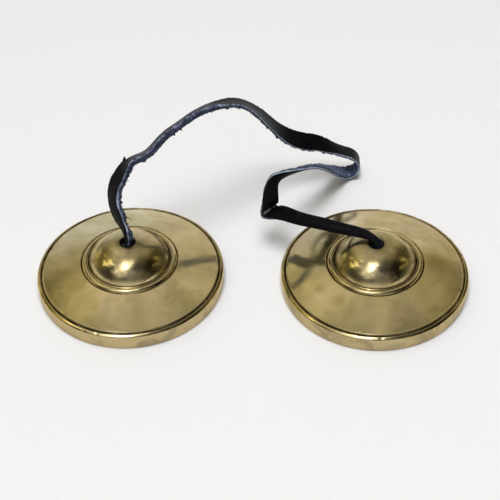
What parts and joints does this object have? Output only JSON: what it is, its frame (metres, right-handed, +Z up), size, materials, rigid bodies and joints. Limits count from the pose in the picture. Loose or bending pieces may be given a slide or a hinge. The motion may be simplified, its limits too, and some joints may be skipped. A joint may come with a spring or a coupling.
{
  "type": "tingsha cymbals",
  "caption": "Thick brass hand cymbals with a low conical face and a hollow dome, joined through their crowns by a knotted leather strip and struck edge to edge to ring.",
  "frame": {"origin": "on the ground, midway between the two cymbals' axes", "axes": "+X from the left cymbal to the right one, +Y towards the side where the strip loops, +Z up along the cymbals' axes"},
  "size_m": [0.152, 0.0946, 0.0562],
  "materials": {
    "brass": "polished, with a blotchy olive-brown patina",
    "leather": "smooth black grain side, blue-grey suede flesh side, raw cut edges"
  },
  "bodies": {
    "strap": {"left_strap_end": "leather", "strap_span": "leather", "right_strap_end": "leather"},
    "left_knot": {"left_knot": "leather"},
    "left_cymbal": {"left_cymbal": "brass"},
    "right_knot": {"right_knot": "leather"},
    "right_cymbal": {"right_cymbal": "brass"}
  },
  "joints": [
    {"name": "left_swing", "type": "hinge", "parent": "strap", "child": "left_knot", "pos_m": [-0.043, 0, 0.0192], "axis": [-0.352, -0.936, 0], "range_deg": [-55, 75], "deforming": ["left_strap_end"]},
    {"name": "left_spin", "type": "hinge", "parent": "left_knot", "child": "left_cymbal", "pos_m": [-0.043, 0, 0], "axis": [0, 0, 1], "continuous": true},
    {"name": "right_swing", "type": "hinge", "parent": "strap", "child": "right_knot", "pos_m": [0.0438, 0, 0.0192], "axis": [0, 1, 0], "range_deg": [-75, 14], "deforming": ["right_strap_end"]},
    {"name": "right_spin", "type": "hinge", "parent": "right_knot", "child": "right_cymbal", "pos_m": [0.043, 0, 0], "axis": [0, 0, 1], "continuous": true}
  ]
}
